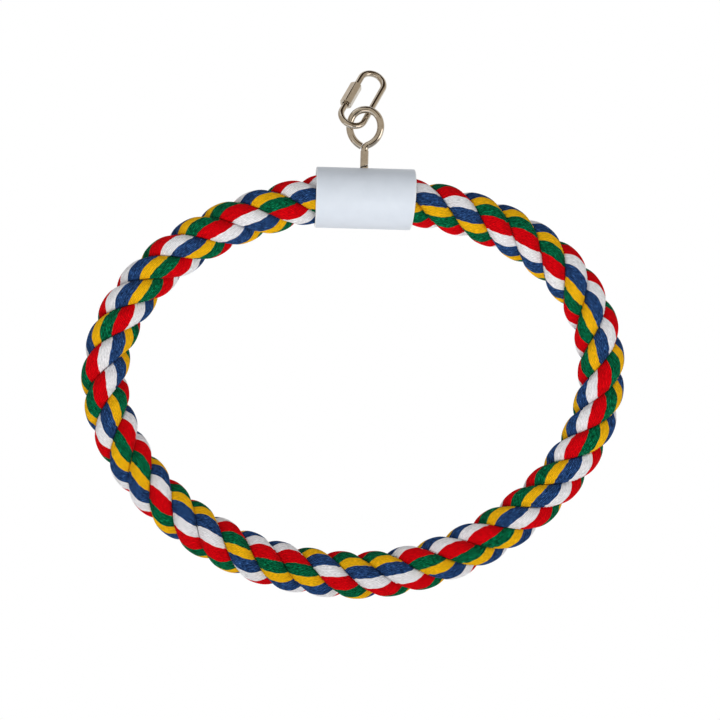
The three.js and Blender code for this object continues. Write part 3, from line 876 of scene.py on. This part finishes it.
# The room: white all round to the camera and in the metal, softer on what it lights, with a pale floor
# under the swing that fades into the white. Two soft lamps light the swing, and plain cards round it, which
# only gloss sees, give the metal and the plastic something to mirror.
WORLD_LIGHT = 0.54
FLOOR_DROP = 0.60
FLOOR_RADIUS = 0.7
FLOOR_SIDES = 64
FLOOR_FADE = (0.35, 0.95)  # where it starts and ends to fade, as shares of its radius
FLOOR_GLOW = 0.3
FLOOR_SURFACE = {"Base Color": (0.90, 0.90, 0.90), "Roughness": 0.8, "Emission Color": (1, 1, 1)}
LAMP_AIM = Vector((0, 0, -0.2))
LAMP_SIZE = 1.2
LAMPS = (  # place and power
    ("front_lamp", (0.1, -1.7, -1.1), 23),
    ("back_lamp", (-0.1, 1.8, -0.3), 16),
)
CARDS = (  # colour; bearing to the right of the front, and rise, in degrees; distance; width and height
    ("front_card", (0.64, 0.58, 0.49), -5, 10, 2.8, 6.7, 4.4),
    ("left_card", (0.59, 0.54, 0.48), -100, 5, 2.0, 4.0, 3.4),
    ("right_card", (0.62, 0.55, 0.46), 75, 27, 2.2, 3.1, 2.75),
    ("rear_card", (0.86, 0.81, 0.76), -135, 47, 1.8, 1.0, 0.8),
    ("ceiling_card", (0.06, 0.04, 0.025), 45, 80, 1.1, 1.1, 1.0),
    ("dark_high_card", (0.10, 0.07, 0.04), 37, 36, 2.0, 0.85, 1.2),
    ("dark_low_card", (0.32, 0.29, 0.26), 38, -30, 1.9, 1.3, 1.0),
    ("dark_front_card", (0.02, 0.02, 0.02), 11, -9, 1.7, 0.80, 0.60),
    ("bright_front_card", (1.7, 1.55, 1.45), 2, -34, 2.0, 0.8, 0.9),
    ("bright_right_card", (2.7, 2.5, 2.35), 55, -13, 1.8, 1.0, 0.75),
)


def seen_directly(nodes):
    """One where the camera looks, straight or by way of metal or glass, and nothing elsewhere."""
    path = nodes.add("ShaderNodeLightPath").outputs
    seen = nodes.math("MAXIMUM", path["Is Camera Ray"], path["Is Glossy Ray"])
    return nodes.math("MAXIMUM", seen, path["Is Transmission Ray"])


world = bpy.data.worlds.new("white_room")
bpy.context.scene.world = world
world.use_nodes = True
room = Nodes(world.node_tree)
backdrop = world.node_tree.nodes["Background"].inputs
room.feed(backdrop["Color"], (1, 1, 1))
white = room.math("MULTIPLY_ADD", seen_directly(room), 1 - WORLD_LIGHT, WORLD_LIGHT)
room.feed(backdrop["Strength"], white)


def pale_floor():
    """A pale disc that fades out to the room's white."""
    middle = Vector((bolt.x, bolt.y, -FLOOR_DROP))
    bm = bmesh.new()
    bmesh.ops.create_circle(
        bm, cap_ends=True, radius=FLOOR_RADIUS, segments=FLOOR_SIDES, matrix=Matrix.Translation(middle)
    )
    material, nodes, sockets = new_finish("pale_floor", FLOOR_SURFACE)
    nodes.feed(sockets["Emission Strength"], nodes.math("MULTIPLY", seen_directly(nodes), FLOOR_GLOW))
    away = nodes.add("ShaderNodeVectorMath", operation="DISTANCE")
    nodes.feed(away.inputs[0], nodes.place())
    away.inputs[1].default_value = middle
    near, far = (share * FLOOR_RADIUS for share in FLOOR_FADE)
    nodes.feed(sockets["Alpha"], nodes.spread(away.outputs["Value"], near, far, 1.0, 0.0))
    return new_piece("floor", bm, material)


def card(name, colour, bearing, rise, distance, width, height):
    """A plain card that only gloss sees, facing the bolt's eye from a bearing and a rise."""
    bearing = math.radians(bearing)
    rise = math.radians(rise)
    flat = Vector((math.sin(bearing), -math.cos(bearing), 0)) * math.cos(rise)
    away = flat + Vector((0, 0, math.sin(rise)))
    turn = (-away).to_track_quat("Z", "Y").to_matrix().to_4x4()
    size = Matrix.Diagonal((width / 2, height / 2, 1, 1))
    place = Matrix.Translation(eye + away * distance) @ turn @ size
    bm = bmesh.new()
    bmesh.ops.create_grid(bm, x_segments=1, y_segments=1, size=1, matrix=place)
    surface = {
        "Base Color": (0, 0, 0),
        "Specular IOR Level": 0.0,
        "Emission Color": colour,
        "Emission Strength": 1.0,
    }
    material, _, _ = new_finish(name, surface)
    piece = new_piece(name, bm, material)
    piece.visible_camera = False
    piece.visible_diffuse = False
    piece.visible_shadow = False
    piece.visible_transmission = False


def area_lamp(name, place, power):
    """A soft square lamp turned to the swing."""
    data = bpy.data.lights.new(name, "AREA")
    data.size = LAMP_SIZE
    data.energy = power
    lamp = bpy.data.objects.new(name, data)
    lamp.location = place
    lamp.rotation_euler = (LAMP_AIM - Vector(place)).to_track_quat("-Z", "Y").to_euler()
    lamp.visible_glossy = False
    bpy.context.scene.collection.objects.link(lamp)


pale_floor()
for values in CARDS:
    card(*values)
for values in LAMPS:
    area_lamp(*values)
